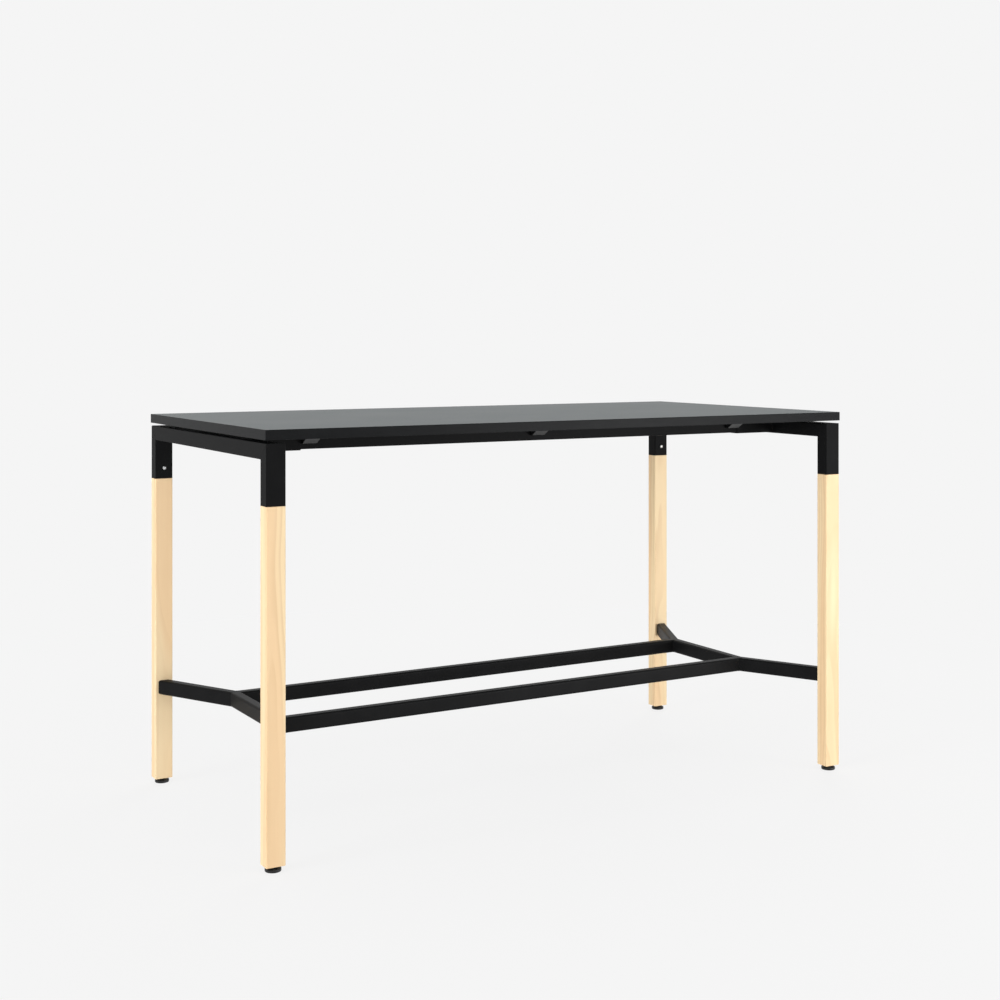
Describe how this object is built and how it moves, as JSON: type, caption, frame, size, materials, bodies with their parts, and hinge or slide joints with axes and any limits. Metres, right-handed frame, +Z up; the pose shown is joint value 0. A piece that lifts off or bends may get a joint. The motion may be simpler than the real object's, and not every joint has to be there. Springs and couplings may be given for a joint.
{
  "type": "standing meeting table",
  "caption": "Standing-height meeting table: faced board top, black steel tube upper frame, pale timber lower legs, welded foot rail frame and levelling glides.",
  "frame": {"origin": "on the floor, under the centre of the table top", "axes": "+X along the length of the top, +Y from the front to the back of the picture, +Z up"},
  "size_m": [1.8, 0.9, 1.055],
  "materials": {
    "faced_board": "dark grey laminate faced board, satin",
    "edge_band": "dark grey plastic edge band, satin",
    "powder_coat": "black powder coat, semi-matt",
    "timber": "pale hardwood, clear matt lacquer",
    "zinc": "bright zinc plate",
    "black_nylon": "black moulded nylon"
  },
  "bodies": {
    "frame": {"table_top": "faced_board", "edge_band": "edge_band", "post_left_front": "powder_coat", "post_left_back": "powder_coat", "post_right_front": "powder_coat", "post_right_back": "powder_coat", "end_rail_left": "powder_coat", "end_rail_right": "powder_coat", "beam_stub_left_front": "powder_coat", "beam_stub_left_back": "powder_coat", "beam_stub_right_front": "powder_coat", "beam_stub_right_back": "powder_coat", "beam_front": "powder_coat", "beam_back": "powder_coat", "bearer_left": "powder_coat", "bearer_centre": "powder_coat", "bearer_right": "powder_coat", "top_screw_left_front": "zinc", "top_screw_left_back": "zinc", "top_screw_centre_front": "zinc", "top_screw_centre_back": "zinc", "top_screw_right_front": "zinc", "top_screw_right_back": "zinc", "beam_bolt_left_front": "zinc", "beam_bolt_left_back": "zinc", "beam_bolt_right_front": "zinc", "beam_bolt_right_back": "zinc", "leg_left_front": "timber", "leg_left_back": "timber", "leg_right_front": "timber", "leg_right_back": "timber", "leg_screw_left_front": "zinc", "leg_screw_left_back": "zinc", "leg_screw_right_front": "zinc", "leg_screw_right_back": "zinc", "foot_rail_front": "powder_coat", "foot_rail_back": "powder_coat", "foot_cross_left": "powder_coat", "foot_cross_right": "powder_coat", "foot_arm_left_front": "powder_coat", "foot_arm_left_back": "powder_coat", "foot_arm_right_front": "powder_coat", "foot_arm_right_back": "powder_coat", "foot_screw_left_front": "zinc", "foot_screw_left_back": "zinc", "foot_screw_right_front": "zinc", "foot_screw_right_back": "zinc", "glide_nut_left_front": "zinc", "glide_nut_left_back": "zinc", "glide_nut_right_front": "zinc", "glide_nut_right_back": "zinc"},
    "pad_left_front": {"glide_pad_left_front": "black_nylon"},
    "stem_left_front": {"glide_stem_left_front": "zinc"},
    "pad_left_back": {"glide_pad_left_back": "black_nylon"},
    "stem_left_back": {"glide_stem_left_back": "zinc"},
    "pad_right_front": {"glide_pad_right_front": "black_nylon"},
    "stem_right_front": {"glide_stem_right_front": "zinc"},
    "pad_right_back": {"glide_pad_right_back": "black_nylon"},
    "stem_right_back": {"glide_stem_right_back": "zinc"}
  },
  "joints": [
    {"name": "glide_travel_left_front", "type": "slide", "parent": "frame", "child": "pad_left_front", "axis": [0, 0, -1], "range_m": [0, 0.02]},
    {"name": "glide_turn_left_front", "type": "hinge", "parent": "pad_left_front", "child": "stem_left_front", "pos_m": [-0.873, -0.428, 0], "axis": [0, 0, -1], "range_deg": [0, 5760]},
    {"name": "glide_travel_left_back", "type": "slide", "parent": "frame", "child": "pad_left_back", "axis": [0, 0, -1], "range_m": [0, 0.02]},
    {"name": "glide_turn_left_back", "type": "hinge", "parent": "pad_left_back", "child": "stem_left_back", "pos_m": [-0.873, 0.428, 0], "axis": [0, 0, -1], "range_deg": [0, 5760]},
    {"name": "glide_travel_right_front", "type": "slide", "parent": "frame", "child": "pad_right_front", "axis": [0, 0, -1], "range_m": [0, 0.02]},
    {"name": "glide_turn_right_front", "type": "hinge", "parent": "pad_right_front", "child": "stem_right_front", "pos_m": [0.873, -0.428, 0], "axis": [0, 0, -1], "range_deg": [0, 5760]},
    {"name": "glide_travel_right_back", "type": "slide", "parent": "frame", "child": "pad_right_back", "axis": [0, 0, -1], "range_m": [0, 0.02]},
    {"name": "glide_turn_right_back", "type": "hinge", "parent": "pad_right_back", "child": "stem_right_back", "pos_m": [0.873, 0.428, 0], "axis": [0, 0, -1], "range_deg": [0, 5760]}
  ],
  "couplings": [
    {"joint": "glide_turn_left_front", "follows": "glide_travel_left_front", "rad_per_m": 5026.5},
    {"joint": "glide_turn_left_back", "follows": "glide_travel_left_back", "rad_per_m": 5026.5},
    {"joint": "glide_turn_right_front", "follows": "glide_travel_right_front", "rad_per_m": 5026.5},
    {"joint": "glide_turn_right_back", "follows": "glide_travel_right_back", "rad_per_m": 5026.5}
  ]
}
